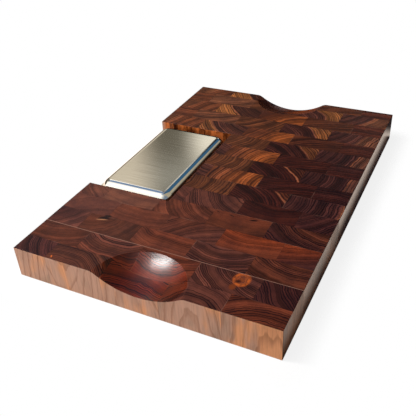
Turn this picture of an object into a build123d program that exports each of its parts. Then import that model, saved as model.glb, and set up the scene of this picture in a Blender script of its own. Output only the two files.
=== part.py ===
"""End-grain butcher block with a dished hand-hold at each end and a steel tray that slides in its side.

Millimetres, +Z up. The origin is the middle of the board's underside, +Y runs to the far end and
the tray slides out to the left, along -X.
"""
from build123d import *
from math import asin, cos, degrees, radians, sin, sqrt
import os

# Board
board_length = 609.6
board_width = 406.4
board_thickness = 50.8
edge_ease = 0.8

# Glue-up: strips run across the board and are counted from the far end
far_end_strip = 27.9
far_strip_width = 38.4
far_strip_count = 9
near_strip_width = 40.4
stave_width = 91.0
odd_strip_first_joint = 78.0
even_strip_first_joint = 46.0
near_end_strip_count = 4
near_end_stave_width = 90.0
near_end_odd_first_joint = 83.5
near_end_even_first_joint = 56.0
least_offcut = 10.0

# Recess for the tray in the left side, from the joint behind this many strips
strip_count_beyond_recess = 5
recess_length = 240.5
recess_depth = 148.8
groove_depth = 6.0
groove_play = 1.0

# Hand-holds: a dish at the middle of each end, with a tight rim and softer shoulders at the end face
dish_radius = 69.5
dish_depth = 22.0
rim_radius = 1.5
shoulder_radius = 30.0
shoulder_tilt = 8.5
shoulder_run = 20.0

# Tray: a pressed pan, turned over, on a flange that runs in the grooves
sheet = 1.0
tray_drop = 0.8
tray_lip = 4.5
tray_back_gap = 1.0
flange_end_gap = 0.8
flange_lift = 0.25
flange_corner = 12.0
pan_front_gap = 9.6
pan_back_gap = 4.6
pan_end_gap = 6.2
pan_draft = 3.0
pan_corner = 20.0
crown_radius = 15.0
root_radius = 2.5

# Overshoot that carries a cut clear of the face it leaves
clear = 2.0


def joints(first, widths, total):
    """Distances of the glue joints across a total, both edges included."""
    places = [0.0, first]
    for width in widths:
        if total - places[-1] < width + least_offcut:
            break
        places.append(places[-1] + width)
    return places + [total]


def enough(width, total):
    """As many equal widths as a total could ever hold."""
    return [width] * int(total / width + 1)


# Strip joints, as distances from the far end
strip_widths = [far_strip_width] * far_strip_count + enough(near_strip_width, board_length)
strip_joints = joints(far_end_strip, strip_widths, board_length)


def block_joints(number):
    """Distances of one strip's block joints from the left side."""
    if number < len(strip_joints) - near_end_strip_count:
        first = odd_strip_first_joint if number % 2 else even_strip_first_joint
        return joints(first, enough(stave_width, board_width), board_width)
    first = near_end_odd_first_joint if number % 2 else near_end_even_first_joint
    return joints(first, enough(near_end_stave_width, board_width), board_width)


# Places that the board and the tray share
left_side = -board_width / 2
far_end = board_length / 2
recess_back = left_side + recess_depth
recess_far = far_end - strip_joints[strip_count_beyond_recess]
recess_near = recess_far - recess_length
recess_middle = recess_far - recess_length / 2
groove_height = sheet + groove_play
groove_floor = (board_thickness - groove_height) / 2

# Dish floor: an arc that turns into the rim, level with the top
dish_swing = (dish_radius**2 + dish_depth**2) / (2 * dish_depth)
floor_radius = dish_swing - rim_radius
floor_turn = degrees(asin(dish_radius / dish_swing))

# Shoulder: a round that touches the top and the dish floor at the end face
shoulder_swing = floor_radius + shoulder_radius
shoulder_rise = floor_radius - dish_depth + shoulder_radius
shoulder_reach = sqrt(shoulder_swing**2 - shoulder_rise**2)
shoulder_start = shoulder_reach * floor_radius / shoulder_swing
shoulder_fall = shoulder_radius - sqrt(shoulder_radius**2 - (shoulder_reach - shoulder_start) ** 2)

# What is cut away for one hand-hold, about the middle of an end's top edge, with the board along +Y
with BuildPart() as dish:
    with BuildSketch(Plane.XZ):
        with BuildLine():
            floor = JernArc((0, -dish_depth), (1, 0), floor_radius, floor_turn)
            rim = JernArc(floor @ 1, floor % 1, rim_radius, -floor_turn)
            Polyline(rim @ 1, (dish_radius, clear), (0, clear), (0, -dish_depth))
        make_face()
    revolve(axis=Axis.Z)

with BuildPart() as shoulders:
    with Locations((shoulder_start, -clear, -shoulder_fall - clear)):
        Box(
            shoulder_reach - shoulder_start,
            shoulder_run + clear,
            shoulder_fall + 2 * clear,
            align=(Align.MIN, Align.MIN, Align.MIN),
        )
    tilt = radians(shoulder_tilt)
    with Locations(Plane((shoulder_reach, 0, -shoulder_radius), z_dir=(0, cos(tilt), sin(tilt)))):
        Cylinder(shoulder_radius, 4 * shoulder_run, mode=Mode.SUBTRACT)
    mirror(about=Plane.YZ)

# The whole glued-up board, cut to its outline, eased, grooved and dished
with BuildPart() as board:
    with BuildSketch():
        Rectangle(board_width, board_length)
        with Locations((left_side, recess_middle)):
            Rectangle(2 * recess_depth, recess_length, mode=Mode.SUBTRACT)
    extrude(amount=board_thickness)
    uprights = board.edges().filter_by(Axis.Z)
    corners = uprights.filter_by(lambda edge: abs(edge.center().X - recess_back) > edge_ease)
    fillet(corners + board.faces().filter_by(Axis.Z).edges(), edge_ease)
    with Locations((left_side, recess_middle, groove_floor)):
        Box(
            2 * recess_depth,
            recess_length + 2 * groove_depth,
            groove_height,
            align=(Align.CENTER, Align.CENTER, Align.MIN),
            mode=Mode.SUBTRACT,
        )
    for end, turn in ((-far_end, 0), (far_end, 180)):
        with Locations(Location((0, end, board_thickness), (0, 0, turn))):
            add(dish.part, mode=Mode.SUBTRACT)
            add(shoulders.part, mode=Mode.SUBTRACT)


def glued_strip(number):
    """One strip of the glue-up, as its separate blocks."""
    far, near = (far_end - place for place in strip_joints[number - 1 : number + 1])
    sides = [left_side + place for place in block_joints(number)]
    blocks = []
    for left, right in zip(sides, sides[1:]):
        if right <= recess_back and far <= recess_far and near >= recess_near:
            continue
        with BuildPart() as block:
            add(board.part)
            with Locations(((left + right) / 2, (far + near) / 2, board_thickness / 2)):
                Box(right - left, far - near, board_thickness + clear, mode=Mode.INTERSECT)
        blocks += block.part.solids()
    return blocks


os.makedirs("parts", exist_ok=True)

for number in range(1, len(strip_joints)):
    strip = Compound(label=f"strip_{number:02d}", children=glued_strip(number))
    export_step(strip, f"parts/strip_{number:02d}.step")

# Tray: the flange first, then the pan raised from it, and the hollow taken out of both
flange_floor = groove_floor + flange_lift
flange_left = left_side - tray_lip
flange_right = recess_back - tray_back_gap
flange_length = recess_length + 2 * (groove_depth - flange_end_gap)
pan_width = recess_depth - pan_front_gap - pan_back_gap
pan_length = recess_length - 2 * pan_end_gap
pan_middle = recess_back - pan_back_gap - pan_width / 2
pan_height = board_thickness - tray_drop - flange_floor

with BuildPart() as hollow:
    with BuildSketch(Plane((pan_middle, recess_middle, flange_floor))):
        RectangleRounded(pan_width - 2 * sheet, pan_length - 2 * sheet, pan_corner - sheet)
    extrude(amount=pan_height - sheet, taper=pan_draft)
    fillet(hollow.faces().sort_by(Axis.Z)[-1].edges(), crown_radius - sheet)

with BuildPart() as tray:
    with BuildSketch(Plane(((flange_left + flange_right) / 2, recess_middle, flange_floor))):
        RectangleRounded(flange_right - flange_left, flange_length, flange_corner)
    extrude(amount=sheet)
    with BuildSketch(Plane((pan_middle, recess_middle, flange_floor))):
        RectangleRounded(pan_width, pan_length, pan_corner)
    extrude(amount=pan_height, taper=pan_draft)
    crown = tray.faces().sort_by(Axis.Z)[-1].edges()
    fillet(crown, crown_radius)
    root = tray.faces().filter_by(Axis.Z).sort_by(Axis.Z)[1].inner_wires()[0].edges()
    fillet(root, root_radius)
    add(hollow.part, mode=Mode.SUBTRACT)
    mouth = tray.faces().sort_by(Axis.Z)[0].inner_wires()[0].edges()
    fillet(mouth, root_radius)
tray.part.label = "tray"
export_step(tray.part, "parts/tray.step")
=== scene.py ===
"""End-grain walnut butcher block with a sliding steel tray, finished and lit for its picture."""
from collections import namedtuple
from math import cos, degrees, radians, sin

import bpy
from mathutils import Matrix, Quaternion, Vector


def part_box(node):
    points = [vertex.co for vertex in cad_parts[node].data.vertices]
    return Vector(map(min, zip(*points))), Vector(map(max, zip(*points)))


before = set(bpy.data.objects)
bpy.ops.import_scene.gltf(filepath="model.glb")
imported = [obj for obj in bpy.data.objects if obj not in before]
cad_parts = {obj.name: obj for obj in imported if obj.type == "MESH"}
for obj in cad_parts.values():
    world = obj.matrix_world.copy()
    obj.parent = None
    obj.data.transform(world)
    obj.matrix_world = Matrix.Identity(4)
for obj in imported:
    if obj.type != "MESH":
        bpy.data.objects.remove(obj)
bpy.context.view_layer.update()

MM_PER_METRE = 1000.0

# Board and glue-up, in millimetres. Block joints are counted from the left side, in odd and even strips.
BOARD_WIDTH = 406.4
BOARD_LENGTH = 609.6
BOARD_THICKNESS = 50.8
STRIPS = 16
FIRST_PANEL_STRIPS = 10
JOINTS_IN_STRIP = 4
STAVE_WIDTH = 91.0
ODD_FIRST_JOINT = 78.0
EVEN_FIRST_JOINT = 46.0
NEAR_END_STRIPS = 4
NEAR_END_STAVE_WIDTH = 90.0
NEAR_END_ODD_FIRST_JOINT = 83.5
NEAR_END_EVEN_FIRST_JOINT = 56.0

# The strips round the recess, its depth, and how its orange walls and the painted shade on its back wall
# fade at the outside and stop at the back
RECESS_STRIPS = range(5, 13)
RECESS_DEPTH = 148.8
RECESS_FADE = (0.9, 10.0)
RECESS_STOP = (0.1, 0.3)

# How far from a joint its seam fades, and the strip whose near joint shows a wider line of glue all along
SEAM = (0.1, 0.5)
OPEN_SEAM = (0.25, 0.6)
OPEN_JOINT = 14

# The part of a hand-hold that is stained in the near one and lit with painted light in the far one: a circle
# about the middle of the end, cut off at the shoulders, which spread inward, and the width of its soft edge
STAIN_RADIUS = 69.5
STAIN_SHOULDER = 55.0
SHOULDER_SPREAD = 0.5
STAIN_EDGE = 1.5

# How far a stave's tones run into each other, at a pale streak and without one, how far the streak lies
# from that change, and how far from its middle it fades
SHARP_CHANGE = 1.5
SOFT_CHANGE = 26.0
STREAK_SHIFT = 0.8
STREAK_FADE = (0.3, 2.4)

# Where the sides turn warmer to the right of the board's middle
WARM_RIGHT = (60.0, 200.0)

# Between which shares of the first panel's length its staves change their tones
TONES_START = 0.15
TONES_END = 0.70

# Noise in the wood, in waves per millimetre across, along and down, and how far it bends the rings
WAVES = (0.016, 0.016, 0.010)
RIPPLES = (0.085, 0.085, 0.012)
PORES = (1.1, 1.1, 0.05)
FIBRES = (0.40, 0.40, 0.012)
PATCHES = (0.035, 0.035, 0.02)
GLUE_GAPS = (0.022, 0.022, 0.0)
SMOKE = (0.022, 0.022, 0.016)
STRIPES = (0.07, 0.07, 0.008)
VEINS = (0.045, 0.045, 0.012)
# Noise of the painted shade on the right face
SIDE_SHADOWS = (0.0, 0.022, 0.006)
WAVE_BEND = 14.0
RIPPLE_BEND = 5.0

# How many times as far apart as their piths the noise of two blocks lies
NOISE_SPREAD = 3.7

# Noise outward from the pith, in waves per millimetre, how far it moves on from strip to strip, and how many
# rings it drifts
DRIFT = 0.05
DRIFT_STEP = 7.0
DRIFT_RINGS = 2.0
ZONES = 0.07
ZONE_STEP = 31.0
GRIT = 0.34
GRIT_STEP = 11.0

# Where the chances of a ring's strength and of its paleness start
STRENGTH_START = 0.5
PALENESS_START = 90.5

# Knots: waves per millimetre of their noise, and how much their rings turn with distance and with noise
KNOT_NOISE = 0.16
KNOT_RINGS = 16.0
KNOT_TANGLE = 12.0

# Brush marks and clouds on the tray, in waves per millimetre
BRUSH = (0.012, 0.9, 0.5)
CLOUD = (0.02, 0.02, 0.02)

# How a screen's levels stand to light
FULL_LEVEL = 255
SCREEN_GAMMA = 2.2


def tone(red, green, blue):
    """A colour as the eye reads it on a screen, made linear."""
    return tuple((level / FULL_LEVEL) ** SCREEN_GAMMA for level in (red, green, blue))


# Oiled end grain: the early wood of the different staves, and what they share
TAN = tone(104, 63, 44)
OLIVE = tone(74, 43, 34)
AMBER = tone(138, 75, 42)
HONEY = tone(154, 95, 56)
HAZEL = tone(126, 78, 57)
COCOA = tone(80, 44, 33)
BARK = tone(92, 54, 37)
COPPER = tone(124, 58, 36)
CHESTNUT = tone(102, 58, 40)
SIENNA = tone(110, 62, 42)
UMBER = tone(90, 50, 39)
RUSSET = tone(94, 49, 36)
PLUM = tone(64, 36, 34)
MAROON = tone(60, 30, 26)
SLATE = tone(85, 50, 43)
DUSK = tone(65, 38, 36)
ASHEN = tone(96, 60, 50)
# Late wood: its dark brown is the wood's own, and its bluish tint a painted reflection of blue light from
# above
LATE_WOOD_AND_SHEEN = tone(24, 13, 19)
STREAK = tone(154, 90, 64)
GLUE = tone(142, 106, 92)

# What multiplies the early wood in cool and warm patches, and the end grain in the two hand-holds: staining
# in the near one, and painted light, a little warmer, in the far one
COOL_PATCH = (0.76, 0.74, 0.78)
WARM_PATCH = (1.30, 1.22, 1.08)
NEAR_STAIN = (1.00, 0.49, 0.22)
FAR_PAINTED_LIGHT = (1.15, 1.00, 0.98)

# Long grain: pale on the outside, with warm and smoky parts, and orange with dark veins in the recess
SIDE_PALE = tone(181, 139, 118)
SIDE_WARM = tone(208, 144, 104)
SIDE_SMOKE = tone(150, 122, 104)
SIDE_DARK = tone(122, 78, 56)
WALL_PALE = tone(188, 102, 54)
WALL_DARK = tone(44, 17, 11)

# How rough the wood is on top and on the sides, which are duller in the second panel
TOP_ROUGHNESS = 0.25
SIDE_ROUGHNESS = 0.10
DULL_SIDES = {11: 0.30, 12: 0.20, 13: 0.20, 14: 0.20, 15: 0.34, 16: 0.28}

# Steel between and on the brush marks
STEEL_DARK = (0.58, 0.545, 0.48)
STEEL_PALE = (0.72, 0.685, 0.62)

# Floor, in metres: its size, how far it lies below the board, where its shadow fades out beside the board,
# and where its mirror image grows light out of a painted shadow beside the board, and is painted dark again
# towards the far end
FLOOR_SIZE = 8.0
FLOOR_DROP = 0.0003
SHADOW_FADE = (0.006, 0.05)
MIRRORED_RISE = (0.005, 0.016)
MIRRORED_END = (0.30, 0.36)

# Its own glow to the camera and to glossy surfaces, and its colours to the camera, to matt surfaces, and to
# glossy ones: a painted shadow close to the board, and light away from it
FLOOR_GLOW = 0.85
FLOOR_SEEN = (0.90, 0.90, 0.90)
FLOOR_MATT = (0.30, 0.29, 0.28)
MIRRORED_PAINTED_SHADOW = (0.008, 0.012, 0.024)
MIRRORED_FLOOR = (2.0, 1.68, 1.45)

# What the camera sees behind the board, the light on matt surfaces, and colours of the room that glossy
# ones show
WHITE = (1.0, 1.0, 1.0)
PLAIN_LIGHT = (0.12, 0.12, 0.12)
DARK_CORNER = (0.010, 0.009, 0.008)
LOWER_WALL = (0.17, 0.155, 0.12)
UPPER_WALL = (0.48, 0.48, 0.43)
GREY_CEILING = (0.32, 0.34, 0.38)
BLUE_CEILING = (0.24, 0.38, 0.66)
CURTAIN = (0.05, 0.16, 0.32)
PALE_BACK = (0.62, 0.58, 0.52)
BLUE_BACK = (0.26, 0.34, 0.45)

# Where the wall, the ceiling and the curtain of that room fade in, and change their colour, by bearing in
# degrees and by height
WALL_EDGE = (-18.0, -24.0)
WALL_FOOT = (0.30, 0.38)
WALL_CHANGE = (0.47, 0.53)
WALL_TOP = (0.56, 0.52)
CEILING_FOOT = (0.61, 0.68)
CEILING_CHANGE = (-32.0, -40.0)
CURTAIN_EDGE = (-8.0, -2.0)
CURTAIN_FOOT = (0.42, 0.56)
HIGH_CURTAIN_EDGE = (-23.0, -17.0)
HIGH_CURTAIN_FOOT = (0.59, 0.63)

# Where its near side fades in, measured to the far end, and turns blue, measured upward and to the right
BACK_START = (0.0, -0.2)
BLUE_ABOVE = (0.60, 0.70)
BLUE_RIGHT = (0.0, 0.3)

# Two lights on its left: the colour, and where it fades in, measured to the right, to the far end and
# upward
RoomLight = namedtuple("RoomLight", "colour right far up")
SOFT_BOX = RoomLight((2.2, 2.15, 2.05), (0.50, -0.40), (0.05, -0.35), (-0.05, 0.15))
SKYLIGHT = RoomLight((1.7, 1.7, 1.7), (-0.08, -0.42), (0.30, 0.05), (0.42, 0.55))

# Bright parts of that room: the colour, and where its fades by bearing, in degrees, and by height start and
# end, with their levels where these aren't 0 and 1
RoomPart = namedtuple("RoomPart", "colour bearings heights")
WINDOW = RoomPart((1.35, 1.30, 1.15), ((-30.8, -27.4), (-20.0, -24.0)), ((0.43, 0.455), (0.52, 0.48)))
LEFT_WALL = RoomPart((0.86, 0.78, 0.64), ((-32.4, -36.5), (-56.0, -42.0, 0.12, 1.0)), ((0.05, 0.30),))
HIGH_WALL = RoomPart((2.2, 2.2, 2.2), ((-33.0, -38.0), (-58.0, -47.0)), ((0.545, 0.57), (0.65, 0.61)))
FAR_WALL = RoomPart((1.7, 1.65, 1.6), ((-17.0, -10.0), (-2.0, -8.0)), ((0.34, 0.38), (0.47, 0.43)))
GLEAM = RoomPart((1.0, 0.97, 0.90), ((-32.0, -29.0), (-19.0, -23.0)), ((0.545, 0.565), (0.63, 0.61)))
CREAM_WALL = RoomPart((0.58, 0.52, 0.40), ((13.0, 20.0),), ((0.35, 0.56),))

# Camera: place and aim in metres, its roll in degrees, and its lens in millimetres
CAMERA_PLACE = (0.3557, -0.7612, 0.5559)
CAMERA_AIM = (0.0118, -0.1115, 0.0508)
CAMERA_ROLL = -3.38
CAMERA_LENS = 50.66
CAMERA_SENSOR = 36.0

# A block's grain: the direction in degrees and the distance of its pith from the block's middle, the width
# of its rings, how dark their late lines are, how far towards the pith a pale streak lies, and how the
# rings lean
Grain = namedtuple("Grain", "toward away ring line streak lean", defaults=(None, 0.12))

# The five staves of the first panel, left to right in an odd strip. They change slowly along their length,
# so these are the first and the last strip's. An even strip is turned half round.
HALF_TURN = 180
FIRST_STRIP = (
    Grain(-32, 95, 4.2, 0.80, -5),
    Grain(40, 120, 3.9, 0.95, -4),
    Grain(-58, 130, 6.4, 0.55),
    Grain(-70, 190, 5.2, 0.90),
    Grain(-86, 190, 4.8, 0.85),
)
LAST_STRIP = (
    Grain(-2, 110, 4.2, 1.00, -42),
    Grain(50, 130, 4.3, 1.00, -30),
    Grain(-4, 62, 6.2, 0.85),
    Grain(-68, 120, 5.6, 0.90),
    Grain(-84, 150, 5.2, 0.90),
)

# Their tones there, away from the pith and towards it. Turned round, the leaning fibres catch the light
# otherwise.
FIRST_ODD = ((TAN, SIENNA), (HONEY, OLIVE), (COCOA, AMBER), (CHESTNUT, CHESTNUT), (RUSSET, RUSSET))
LAST_ODD = ((TAN, SIENNA), (TAN, SLATE), (SIENNA, AMBER), (MAROON, MAROON), (PLUM, MAROON))
FIRST_EVEN = ((HAZEL, SLATE), (HONEY, SLATE), (BARK, BARK), (HAZEL, HAZEL), (SIENNA, SIENNA))
LAST_EVEN = ((ASHEN, DUSK), (COCOA, MAROON), (BARK, BARK), (COCOA, COCOA), (UMBER, UMBER))

# The second panel, strip by strip, each block with its tones away from the pith and towards it
SECOND_PANEL = {
    11: (
        (Grain(60, 90, 2.0, 0.45), UMBER, UMBER),
        (Grain(40, 90, 2.0, 0.45), SLATE, SLATE),
        (Grain(36, 85, 2.8, 0.60), SLATE, SLATE),
        (Grain(92, 85, 2.8, 0.60), MAROON, MAROON),
        (Grain(138, 110, 3.2, 0.70), PLUM, PLUM),
    ),
    12: (
        (Grain(50, 90, 1.9, 0.42), SLATE, ASHEN),
        (Grain(88, 200, 2.7, 0.15), ASHEN, ASHEN),
        (Grain(48, 90, 2.2, 0.48), UMBER, UMBER),
        (Grain(90, 210, 3.6, 0.25), COCOA, RUSSET),
        (Grain(62, 95, 3.2, 0.85), PLUM, COCOA),
    ),
    13: (
        (Grain(-62, 150, 2.2, 0.15), SLATE, SLATE),
        (Grain(92, 110, 2.7, 0.24), UMBER, UMBER),
        (Grain(-50, 120, 3.0, 0.50), UMBER, SLATE),
        (Grain(93, 140, 2.8, 0.42), RUSSET, COPPER),
        (Grain(112, 130, 2.8, 0.50), DUSK, COPPER),
    ),
    14: (
        (Grain(142, 110, 2.5, 0.45), SLATE, PLUM),
        (Grain(140, 48, 2.8, 0.26), OLIVE, COCOA),
        (Grain(80, 150, 2.8, 0.40), UMBER, RUSSET),
        (Grain(97, 80, 3.6, 0.80), SLATE, SLATE),
        (Grain(75, 130, 3.0, 0.62), COCOA, UMBER),
    ),
    15: (
        (Grain(105, 150, 3.2, 0.55), COCOA, COCOA),
        (Grain(88, 68, 3.8, 0.85), UMBER, SLATE),
        (Grain(95, 120, 2.9, 0.50), RUSSET, RUSSET),
        (Grain(52, 90, 2.8, 0.72), SLATE, SLATE),
        (Grain(36, 110, 3.2, 0.95), PLUM, PLUM),
    ),
    16: (
        (Grain(34, 90, 3.2, 0.95), DUSK, PLUM),
        (Grain(255, 75, 2.8, 0.65, lean=-0.12), OLIVE, OLIVE),
        (Grain(-88, 100, 3.2, 0.75), RUSSET, RUSSET),
        (Grain(-90, 55, 3.3, 0.72), SLATE, SLATE),
        (Grain(-75, 110, 3.5, 0.66), RUSSET, RUSSET),
    ),
}

# Knots: the strip, millimetres from the left side and the far end, half width and half length, turn in
# degrees, and the tones of the rim, what lies in it and the core
Knot = namedtuple("Knot", "strip across along wide long turn rim heart core")
EMBER = tone(176, 86, 38)
RUST = tone(104, 52, 30)
GARNET = tone(48, 25, 23)
PALE_BARK = tone(138, 94, 68)
PITCH = tone(26, 15, 16)
KNOTS = (
    Knot(12, 234, 419.0, 4.5, 1.2, -20, COCOA, PITCH, PITCH),
    Knot(12, 257, 421.0, 6.0, 1.6, -15, COCOA, PITCH, PITCH),
    Knot(12, 292, 420.5, 7.0, 2.0, 15, PITCH, PITCH, PITCH),
    Knot(13, 84, 493.5, 7.0, 3.5, 15, PITCH, PITCH, PITCH),
    Knot(14, 81, 499.5, 10.0, 5.0, 15, PITCH, PITCH, PITCH),
    Knot(14, 80, 503.5, 10.0, 1.7, 15, PALE_BARK, PALE_BARK, PALE_BARK),
    Knot(15, 327, 546.5, 12.0, 14.0, 0, EMBER, UMBER, RUST),
    Knot(15, 324, 551.0, 5.5, 4.0, 20, RUST, GARNET, PITCH),
    Knot(15, 321, 563.5, 5.0, 6.0, 15, RUST, RUST, RUST),
    Knot(16, 64, 604.0, 1.6, 3.4, 30, RUST, EMBER, EMBER),
)

# What the parts of a strip's finish share: the spot and how its face lies, the block there, the rings and
# the fibres of that block, and how near the spot is to a joint, with the glue that shows there
Spot = namedtuple("Spot", "place x y z facing_x facing_z")
Block = namedtuple("Block", "pith rings_per_mm line lean change softness streaked outer inner")
Rings = namedtuple("Rings", "reach late zone paleness grit apart")
Fibres = namedtuple("Fibres", "pore fibre patch")
Joint = namedtuple("Joint", "seam glued")


class Value:
    """A socket of a finish. Arithmetic on it adds Math nodes."""

    def __init__(self, finish, socket):
        self.finish = finish
        self.socket = socket

    def math(self, operation, *others):
        """A Math node on this value and others."""
        return self.finish.node("Math", {"operation": operation}, dict(enumerate((self, *others))))

    def __add__(self, other):
        return self.math("ADD", other)

    def __radd__(self, other):
        return self.math("ADD", other)

    def __sub__(self, other):
        return self.math("SUBTRACT", other)

    def __rsub__(self, other):
        return self.finish.node("Math", {"operation": "SUBTRACT"}, {0: other, 1: self})

    def __mul__(self, other):
        return self.math("MULTIPLY", other)

    def __rmul__(self, other):
        return self.math("MULTIPLY", other)

    def __truediv__(self, other):
        return self.math("DIVIDE", other)

    def __abs__(self):
        return self.math("ABSOLUTE")

    def ease(self, start, end, low=0.0, high=1.0):
        """A smooth step from low at start to high at end."""
        sockets = {0: self, 1: start, 2: end, 3: low, 4: high}
        return self.finish.node("MapRange", {"interpolation_type": "SMOOTHSTEP"}, sockets)


class Finish:
    """A node tree, with one method that adds a node and gives back one of its outputs."""

    def __init__(self, tree):
        self.tree = tree
        tree.nodes.clear()

    def node(self, kind, settings=None, sockets=None, output=0):
        """Adds a node, with its settings first and then its sockets' values and links."""
        node = self.tree.nodes.new("ShaderNode" + kind)
        for name, setting in (settings or {}).items():
            setattr(node, name, setting)
        for name, value in (sockets or {}).items():
            if isinstance(value, Value):
                self.tree.links.new(value.socket, node.inputs[name])
            else:
                node.inputs[name].default_value = value
        return Value(self, node.outputs[output]) if node.outputs else node

    def blend(self, factor, first, second):
        """A colour between two others."""
        first, second = (tint if isinstance(tint, Value) else (*tint, 1.0) for tint in (first, second))
        return self.node("Mix", {"data_type": "RGBA"}, {0: factor, 6: first, 7: second}, 2)

    def choose(self, factor, first, second):
        """A vector between two others."""
        return self.node("Mix", {"data_type": "VECTOR"}, {0: factor, 4: first, 5: second}, 1)

    def scale(self, vector, factor):
        """A vector or colour times a number."""
        return self.node("VectorMath", {"operation": "SCALE"}, {0: vector, "Scale": factor})

    def stretch(self, vector, factors):
        """A vector or colour times another, part by part."""
        return self.node("VectorMath", {"operation": "MULTIPLY"}, {0: vector, 1: factors})

    def move(self, vector, offset):
        """A vector plus another."""
        return self.node("VectorMath", {"operation": "ADD"}, {0: vector, 1: offset})

    def parts(self, vector):
        """The three components of a vector."""
        first = self.node("SeparateXYZ", sockets={0: vector})
        outputs = first.socket.node.outputs
        return tuple(Value(self, outputs[i]) for i in range(3))

    def noise(self, vector, detail=2.0, roughness=0.5):
        """Noise in space."""
        sockets = {"Vector": vector, "Scale": 1.0, "Detail": detail, "Roughness": roughness}
        return self.node("TexNoise", sockets=sockets)

    def noise_along(self, distance, detail=1.0):
        """Noise on a line."""
        sockets = {"W": distance, "Scale": 1.0, "Detail": detail}
        return self.node("TexNoise", {"noise_dimensions": "1D"}, sockets)

    def chance(self, count):
        """A number from 0 to 1 for each count."""
        return self.node("TexWhiteNoise", {"noise_dimensions": "1D"}, {"W": count})

    def ray_kinds(self):
        """Whether a ray comes from the camera, and whether from a glossy surface."""
        outputs = self.node("LightPath").socket.node.outputs
        return Value(self, outputs["Is Camera Ray"]), Value(self, outputs["Is Glossy Ray"])


def new_finish(name):
    """A new material and its empty node tree."""
    material = bpy.data.materials.new(name)
    material.use_nodes = True
    return material, Finish(material.node_tree)


def wear(piece, material):
    """Puts one material on all of a piece."""
    piece.data.materials.clear()
    piece.data.materials.append(material)


def along(first, last, share):
    """Numbers part of the way from the first to the last."""
    return [None if start is None else start + (end - start) * share for start, end in zip(first, last)]


def blocks_of(number):
    """One strip's blocks from the left: grain, and tones away from the pith and towards it."""
    if number > FIRST_PANEL_STRIPS:
        return SECOND_PANEL[number]
    share = (number - 1) / (FIRST_PANEL_STRIPS - 1)
    change = min(max((share - TONES_START) / (TONES_END - TONES_START), 0.0), 1.0)
    grains = [Grain(*along(*ends, share)) for ends in zip(FIRST_STRIP, LAST_STRIP)]
    first, last = (FIRST_ODD, LAST_ODD) if number % 2 else (FIRST_EVEN, LAST_EVEN)
    tones = [[along(*ends, change) for ends in zip(*pairs)] for pairs in zip(first, last)]
    if number % 2:
        return [(grain, *pair) for grain, pair in zip(grains, tones)]
    turned = [grain._replace(toward=grain.toward + HALF_TURN) for grain in grains]
    return [(grain, *pair) for grain, pair in zip(reversed(turned), reversed(tones))]


def block_joints(number):
    """Places of one strip's block joints, from the board's middle."""
    if number > STRIPS - NEAR_END_STRIPS:
        first = NEAR_END_ODD_FIRST_JOINT if number % 2 else NEAR_END_EVEN_FIRST_JOINT
        width = NEAR_END_STAVE_WIDTH
    else:
        first = ODD_FIRST_JOINT if number % 2 else EVEN_FIRST_JOINT
        width = STAVE_WIDTH
    return [first + width * count - BOARD_WIDTH / 2 for count in range(JOINTS_IN_STRIP)]


def spot_on(wood):
    """The spot on a strip, in millimetres, and how its face lies."""
    place = wood.scale(wood.node("TexCoord", output="Object"), MM_PER_METRE)
    facing_x, _, facing_z = wood.parts(wood.node("TexCoord", output="Normal"))
    return Spot(place, *wood.parts(place), facing_x, facing_z)


def block_at(wood, spot, number, low, high):
    """The pith, figure and tones of the block at a spot, chosen by where the spot lies across the strip."""
    edges = [-BOARD_WIDTH / 2, *block_joints(number), BOARD_WIDTH / 2]
    mixes = (wood.choose, wood.choose, wood.choose, wood.blend, wood.blend)
    block = None
    for left, right, (grain, outer, inner) in zip(edges, edges[1:], blocks_of(number)):
        turn = radians(grain.toward)
        middle = Vector(((left + right) / 2, (low.y + high.y) / 2))
        heart = middle + grain.away * Vector((cos(turn), sin(turn)))
        streaked = grain.streak is not None
        change = grain.away - (grain.streak if streaked else 0.0)
        figure = (1 / grain.ring, grain.line, grain.lean)
        border = (change, SHARP_CHANGE if streaked else SOFT_CHANGE, float(streaked))
        here = ((heart.x, heart.y, 0.0), figure, border, outer, inner)
        if block is None:
            block = here
        else:
            beyond = spot.x.math("GREATER_THAN", left)
            block = [mix(beyond, *pair) for mix, pair in zip(mixes, zip(block, here))]
    pith, figure, border, outer, inner = block
    return Block(pith, *wood.parts(figure), *wood.parts(border), outer, inner)


def rings_at(wood, spot, number, block, shifted):
    """The rings at a spot. Each darkens to its late line, and some are stronger or paler than others."""
    # Distance from the pith, bent by slow waves and leaning a little from top to bottom
    wave = wood.noise(wood.stretch(shifted, WAVES), 1.0) - 0.5
    ripple = wood.noise(wood.stretch(shifted, RIPPLES), 3.0) - 0.5
    from_pith = wood.node("VectorMath", {"operation": "SUBTRACT"}, {0: spot.place, 1: block.pith})
    across = wood.stretch(from_pith, (1.0, 1.0, 0.0))
    reach = wood.node("VectorMath", {"operation": "LENGTH"}, {0: across}, 1)
    reach = reach + wave * WAVE_BEND + ripple * RIPPLE_BEND + (spot.z - BOARD_THICKNESS) * block.lean

    ring = reach * block.rings_per_mm + wood.noise_along(reach * DRIFT + DRIFT_STEP * number) * DRIFT_RINGS
    count = ring.math("FLOOR")
    within = ring - count
    strength = wood.chance(count + STRENGTH_START)
    paleness = wood.chance(count + PALENESS_START)
    zone = wood.noise_along(reach * ZONES + ZONE_STEP * number).ease(0.30, 0.70)
    grit = wood.noise_along(reach * GRIT + GRIT_STEP * number, 3.0) - 0.5
    if number > FIRST_PANEL_STRIPS:
        strength = strength.ease(0.25, 0.90, 0.20, 1.70)
        grit = grit.math("MINIMUM", 0.04)
    else:
        strength = strength * 0.45 + 0.55
    late = within.ease(0.46, 0.80) * within.ease(0.90, 1.0, 1.0, 0.0) * strength * block.line
    return Rings(reach, late, zone, paleness, grit, reach - block.change)


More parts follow.
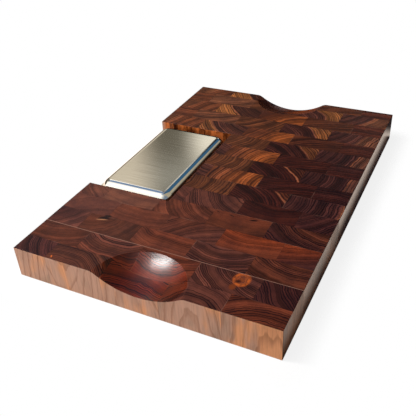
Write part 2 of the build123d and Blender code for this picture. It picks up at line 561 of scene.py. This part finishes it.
def fibres_at(wood, shifted):
    """Pores, which are dots on the end grain and dashes down the sides, with fibres and slow patches."""
    pore = wood.noise(wood.stretch(shifted, PORES), 2.0).ease(0.52, 0.70)
    fibre = wood.noise(wood.stretch(shifted, FIBRES), 3.0)
    patch = wood.noise(wood.stretch(shifted, PATCHES), 3.0, 0.6)
    return Fibres(pore, fibre, patch)


def joint_at(wood, spot, number, low, high):
    """The joints with the neighbours. Glue shows pale in places, and along one whole joint near the end."""
    gaps = [abs(spot.x - place) for place in block_joints(number)]
    if number > 1:
        gaps.append(abs(spot.y - high.y))
    if number < STRIPS:
        gaps.append(abs(spot.y - low.y))
    nearest = gaps[0]
    for gap in gaps[1:]:
        nearest = nearest.math("MINIMUM", gap)
    seam = nearest.ease(*SEAM, 1.0, 0.0)
    glued = seam * wood.noise(wood.stretch(spot.place, GLUE_GAPS), 2.0).ease(0.52, 0.64) * 0.4
    if number in (OPEN_JOINT, OPEN_JOINT + 1):
        edge = abs(spot.y - (low.y if number == OPEN_JOINT else high.y))
        glued = glued.math("MAXIMUM", edge.ease(*OPEN_SEAM, 0.8, 0.0))
    return Joint(seam, glued)


def dish_at(spot):
    """Whether a spot lies in the stained part of a hand-hold, lit with painted light in the far one, from 0
    to 1.
    """
    inward = BOARD_LENGTH / 2 - abs(spot.y)
    from_middle = (spot.x * spot.x + inward * inward).math("SQRT")
    dished = from_middle.ease(STAIN_RADIUS, STAIN_RADIUS - STAIN_EDGE)
    from_shoulder = abs(spot.x) - inward * SHOULDER_SPREAD
    dished = dished * from_shoulder.ease(STAIN_SHOULDER, STAIN_SHOULDER - STAIN_EDGE)
    return dished * spot.facing_z.ease(0.2, 0.5)


def draw_knots(wood, spot, number, colour):
    """Adds one strip's knots to a colour: a rim, what lies in it, and a core."""
    place = wood.node("CombineXYZ", sockets={0: spot.x, 1: spot.y})
    for knot in KNOTS:
        if knot.strip != number:
            continue
        turn = radians(knot.turn)
        right = spot.x - (knot.across - BOARD_WIDTH / 2)
        up = spot.y - (BOARD_LENGTH / 2 - knot.along)
        wide = (right * cos(turn) + up * sin(turn)) / knot.wide
        long = (up * cos(turn) - right * sin(turn)) / knot.long
        rough = wood.noise(wood.scale(place, KNOT_NOISE), 3.0, 0.6) - 0.5
        away = (wide * wide + long * long).math("SQRT") + rough * 0.5
        ringed = (away * KNOT_RINGS + rough * KNOT_TANGLE).math("SINE").ease(-0.9, 0.9)
        rim = away.ease(0.85, 1.10, 0.9, 0.0) * rough.ease(-0.15, 0.12, 0.3, 1.0)
        heart = wood.blend(ringed * 0.4, knot.heart, knot.rim)
        colour = wood.blend(rim, colour, knot.rim)
        colour = wood.blend(away.ease(0.58, 0.78, 0.9, 0.0), colour, heart)
        colour = wood.blend(away.ease(0.10, 0.40, 0.7, 0.0), colour, knot.core)
    return colour


def end_colour(wood, spot, number, block, rings, fibres, joint, dished):
    """Colour of the end grain on top, in the hand-holds and below."""
    early = wood.blend((rings.apart / block.softness).ease(-1.0, 1.0), block.inner, block.outer)
    warmth = wood.blend(fibres.patch.ease(0.32, 0.70), COOL_PATCH, WARM_PATCH)
    early = wood.stretch(early, warmth)
    shade = 0.80 + (rings.zone - 0.5) * (block.line * 0.5 + 0.2)
    shade = shade * (1.2 + (rings.paleness - 0.5) * (block.line * 0.45 + 0.08))
    shade = shade * (1.0 + rings.grit * (block.line * 2.0 + 0.6)) * (1.0 - fibres.pore * 0.35)
    colour = wood.blend(rings.late * (1.0 + dished * 0.1), wood.scale(early, shade), LATE_WOOD_AND_SHEEN)

    pale = abs(rings.apart + STREAK_SHIFT).ease(*STREAK_FADE, 1.0, 0.0)
    pale = pale * (fibres.patch + rings.grit).ease(0.30, 0.70, 0.15, 1.0) * block.streaked
    colour = wood.blend(pale * (1.0 - fibres.pore * 0.3), colour, STREAK)
    colour = draw_knots(wood, spot, number, colour)
    colour = wood.blend(joint.glued, wood.scale(colour, 1.0 - joint.seam * 0.3), GLUE)

    # The near hand-hold is stained and the far one lit with painted light. Slopes that face right get
    # painted light outside that part, on the shoulders and the board's eased right edges, and painted shade
    # in it
    stain_and_painted_light = NEAR_STAIN if number > FIRST_PANEL_STRIPS else FAR_PAINTED_LIGHT
    colour = wood.blend(dished, colour, wood.stretch(colour, stain_and_painted_light))
    return wood.scale(colour, 1.0 + spot.facing_x.ease(0.05, 0.40) * (0.75 - dished * 1.1))


def side_colour(wood, spot, number, block, rings, fibres, joint, shifted):
    """Colour of the long grain down the sides, with painted shade in the recess and on the right."""
    smoke = wood.noise(wood.stretch(shifted, SMOKE), 2.0)
    stripe = wood.noise(wood.stretch(shifted, STRIPES), 2.0)
    warmth = smoke * 0.5 + stripe * 0.5 + spot.x.ease(*WARM_RIGHT, -0.06, 0.12)
    colour = wood.blend(warmth.ease(0.45, 0.60), SIDE_PALE, SIDE_WARM)
    colour = wood.blend(smoke.ease(0.44, 0.28, 0.0, 0.75), colour, SIDE_SMOKE)

    ring = rings.reach * block.rings_per_mm * 0.42 + fibres.patch * 0.7
    within = ring - ring.math("FLOOR")
    late = within.ease(0.62, 0.92) * within.ease(0.93, 1.0, 1.0, 0.0)
    line = late * 0.42 + rings.late * 0.12 + (0.5 - rings.zone) * 0.2 + (0.5 - fibres.patch) * 0.5
    line_colour = SIDE_DARK
    # Painted shade on the right face, varying along it
    shadow = wood.noise(wood.stretch(spot.place, SIDE_SHADOWS), 2.0).ease(0.36, 0.64, 0.30, 0.70)
    painted_shade = spot.facing_x.ease(0.5, 0.8) * shadow
    if number in RECESS_STRIPS:
        from_left = spot.x + BOARD_WIDTH / 2
        inside = from_left.ease(*RECESS_FADE) * (from_left - RECESS_DEPTH).ease(*RECESS_STOP, 1.0, 0.0)
        vein = wood.noise(wood.stretch(shifted, VEINS), 5.0, 0.7).ease(0.39, 0.61)
        colour = wood.blend(inside, colour, WALL_PALE)
        line_colour = wood.blend(inside, SIDE_DARK, WALL_DARK)
        line = line * (1.0 - inside * 0.8) + (vein - 0.10) * inside
        # Painted shade on the recess's back wall
        painted_shade = painted_shade.math("MAXIMUM", inside * abs(spot.facing_x).ease(0.5, 0.8) * 0.9)
    line = line.math("MAXIMUM", 0.0).math("MINIMUM", 1.0)
    shade = (fibres.fibre * 0.6 + 0.70) * (1.0 - fibres.pore * 0.16)
    shade = shade * (1.0 - joint.seam * 0.3) * (1.0 - painted_shade)
    return wood.scale(wood.blend(line, colour, line_colour), shade)


def end_grain(number):
    """Oiled end grain for one strip: rings about each block's pith on top, long grain down the sides."""
    material, wood = new_finish("end_grain_%02d" % number)
    low, high = (corner * MM_PER_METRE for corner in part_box("strip_%02d" % number))
    spot = spot_on(wood)
    block = block_at(wood, spot, number, low, high)
    shifted = wood.move(spot.place, wood.scale(block.pith, NOISE_SPREAD))
    rings = rings_at(wood, spot, number, block, shifted)
    fibres = fibres_at(wood, shifted)
    joint = joint_at(wood, spot, number, low, high)
    dished = dish_at(spot)

    side = side_colour(wood, spot, number, block, rings, fibres, joint, shifted)
    top = end_colour(wood, spot, number, block, rings, fibres, joint, dished)
    level = abs(spot.facing_z).ease(0.30, 0.70)
    height = (rings.late * 0.3 - fibres.pore * 0.6) * level - joint.seam * 1.2
    bump = wood.node("Bump", sockets={"Strength": 0.25, "Distance": 0.0002, "Height": height})
    rough_side = DULL_SIDES.get(number, SIDE_ROUGHNESS)
    roughness = rough_side + level * (TOP_ROUGHNESS - rough_side - dished * 0.06)
    surface = wood.node(
        "BsdfPrincipled",
        sockets={
            "Base Color": wood.blend(level, side, top),
            "Roughness": roughness + 0.10 * fibres.fibre + 0.06 * fibres.pore,
            "Normal": bump,
            "Specular IOR Level": 0.07,
            "Coat Weight": dished * spot.facing_x.ease(0.10, 0.40, 0.5, 0.2),
            "Coat Roughness": 0.26,
        },
    )
    wood.node("OutputMaterial", sockets={"Surface": surface})
    return material


def tray_steel():
    """Brushed flat with polished round edges."""
    material, steel = new_finish("tray_steel")
    place = steel.scale(steel.node("TexCoord", output="Object"), MM_PER_METRE)
    brush = steel.noise(steel.stretch(place, BRUSH), 3.0, 0.6)
    cloud = steel.noise(steel.stretch(place, CLOUD), 2.0)
    flat = steel.parts(steel.node("TexCoord", output="Normal"))[2].ease(0.93, 0.995)
    bump = steel.node("Bump", sockets={"Strength": 0.02, "Distance": 0.0001, "Height": brush * flat})
    surface = steel.node(
        "BsdfPrincipled",
        sockets={
            "Base Color": steel.blend(brush.ease(0.3, 0.7), STEEL_DARK, STEEL_PALE),
            "Metallic": 1.0,
            "Roughness": 0.08 + flat * (0.02 * brush + 0.02 * cloud),
            "Normal": bump,
        },
    )
    steel.node("OutputMaterial", sockets={"Surface": surface})
    return material


def pale_floor():
    """Plain floor with a light shadow about the board, that fades into the white behind it."""
    bpy.ops.mesh.primitive_plane_add(size=FLOOR_SIZE, location=(0, 0, -FLOOR_DROP))
    floor = bpy.context.object
    floor.name = "floor"
    material, paint = new_finish("pale_floor")
    x, y, _ = paint.parts(paint.node("TexCoord", output="Object"))
    beside = (abs(x) - BOARD_WIDTH / 2 / MM_PER_METRE).math("MAXIMUM", 0.0)
    beyond = (abs(y) - BOARD_LENGTH / 2 / MM_PER_METRE).math("MAXIMUM", 0.0)
    spread = (beside * beside + beyond * beyond).math("SQRT")
    seen, glossy = paint.ray_kinds()

    matt = paint.node("BsdfDiffuse", sockets={"Color": paint.blend(seen, FLOOR_MATT, FLOOR_SEEN)})
    # In glossy surfaces the floor shows a painted shadow beside the board and painted shade towards the far
    # end
    lit = spread.ease(*MIRRORED_RISE) * y.ease(*MIRRORED_END, 1.0, 0.0)
    mirrored = paint.blend(lit, MIRRORED_PAINTED_SHADOW, MIRRORED_FLOOR)
    glow = paint.node("Emission", sockets={"Color": paint.blend(seen, mirrored, WHITE), "Strength": 1.0})
    lifted = paint.node("MixShader", sockets={0: seen * FLOOR_GLOW + glossy * FLOOR_GLOW, 1: matt, 2: glow})
    clear = paint.node("BsdfTransparent")
    surface = paint.node("MixShader", sockets={0: spread.ease(*SHADOW_FADE), 1: lifted, 2: clear})
    surface = paint.node("MixShader", sockets={0: glossy, 1: surface, 2: lifted})
    paint.node("OutputMaterial", sockets={"Surface": surface})
    wear(floor, material)


def mirrored_room(sky):
    """The dim room that glossy surfaces show, by height and by bearing in degrees, clockwise from +Y."""
    x, y, z = sky.parts(sky.node("TexCoord", output="Generated"))
    bearing = x.math("ARCTAN2", y) * degrees(1.0)

    def with_part(room, part):
        fades = [bearing.ease(*fade) for fade in part.bearings] + [z.ease(*fade) for fade in part.heights]
        share = fades[0]
        for fade in fades[1:]:
            share = share * fade
        return sky.blend(share, room, part.colour)

    wall = sky.blend(z.ease(*WALL_CHANGE), LOWER_WALL, UPPER_WALL)
    walled = bearing.ease(*WALL_EDGE) * z.ease(*WALL_TOP) * z.ease(*WALL_FOOT)
    room = sky.blend(walled, DARK_CORNER, wall)
    for part in (WINDOW, LEFT_WALL, HIGH_WALL, FAR_WALL):
        room = with_part(room, part)
    ceiling = sky.blend(bearing.ease(*CEILING_CHANGE), GREY_CEILING, BLUE_CEILING)
    room = with_part(sky.blend(z.ease(*CEILING_FOOT), room, ceiling), GLEAM)
    curtained = bearing.ease(*CURTAIN_EDGE) * z.ease(*CURTAIN_FOOT)
    high = bearing.ease(*HIGH_CURTAIN_EDGE) * z.ease(*HIGH_CURTAIN_FOOT)
    room = with_part(sky.blend(curtained.math("MAXIMUM", high), room, CURTAIN), CREAM_WALL)

    # The near side of the room, and the lights on its left
    blue = z.ease(*BLUE_ABOVE).math("MAXIMUM", x.ease(*BLUE_RIGHT))
    room = sky.blend(y.ease(*BACK_START), room, sky.blend(blue, PALE_BACK, BLUE_BACK))
    for light in (SOFT_BOX, SKYLIGHT):
        share = x.ease(*light.right) * y.ease(*light.far) * z.ease(*light.up)
        room = sky.blend(share, room, light.colour)
    return room


def studio_sky():
    """White to the camera, plain grey light to matt surfaces, and a room to glossy ones."""
    world = bpy.data.worlds.new("studio")
    world.use_nodes = True
    bpy.context.scene.world = world
    sky = Finish(world.node_tree)
    seen, glossy = sky.ray_kinds()
    plain = sky.blend(glossy, PLAIN_LIGHT, mirrored_room(sky))
    light = sky.node("Background", sockets={"Color": sky.blend(seen, plain, WHITE), "Strength": 1.0})
    sky.node("OutputWorld", sockets={"Surface": light})


def aim_at(thing, place, aim, roll):
    """Puts a camera or a lamp at its place, turned to its aim and then rolled by some degrees."""
    bpy.context.scene.collection.objects.link(thing)
    thing.location = place
    thing.rotation_mode = "QUATERNION"
    level = (Vector(aim) - Vector(place)).to_track_quat("-Z", "Y")
    thing.rotation_quaternion = level @ Quaternion((0, 0, 1), radians(roll))


def lamp(name, place, aim, size, power, colour, roll=0.0, mirrored=False):
    """A soft box. Glossy surfaces show it where it is mirrored."""
    data = bpy.data.lights.new(name, "AREA")
    data.shape = "RECTANGLE"
    data.size, data.size_y = size
    data.energy = power
    data.color = colour
    box = bpy.data.objects.new(name, data)
    box.visible_glossy = mirrored
    aim_at(box, place, aim, roll)


def photo_camera():
    """The camera at the photograph's viewing angle."""
    data = bpy.data.cameras.new("camera")
    data.lens = CAMERA_LENS
    data.sensor_width = CAMERA_SENSOR
    camera = bpy.data.objects.new("camera", data)
    aim_at(camera, CAMERA_PLACE, CAMERA_AIM, CAMERA_ROLL)
    bpy.context.scene.camera = camera


bpy.ops.object.select_all(action="DESELECT")
photo_camera()
studio_sky()
pale_floor()
lamp(
    "key",
    place=(-0.66, -0.50, 1.10),
    aim=(-0.02, -0.10, 0.05),
    size=(0.46, 0.15),
    power=18.0,
    colour=(1.0, 0.98, 0.96),
    roll=57.0,
    mirrored=True,
)
lamp(
    "window",
    place=(-1.30, -1.05, 0.85),
    aim=(-0.05, -0.05, 0.05),
    size=(1.5, 1.5),
    power=17.0,
    colour=(1.0, 0.99, 0.97),
)
lamp(
    "front",
    place=(-0.25, -1.90, 0.55),
    aim=(0.0, -0.1, 0.03),
    size=(1.0, 1.0),
    power=11.0,
    colour=(1.0, 0.98, 0.96),
)

for number in range(1, STRIPS + 1):
    wear(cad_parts["strip_%02d" % number], end_grain(number))
wear(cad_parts["tray"], tray_steel())

bpy.context.scene.view_settings.view_transform = "Standard"
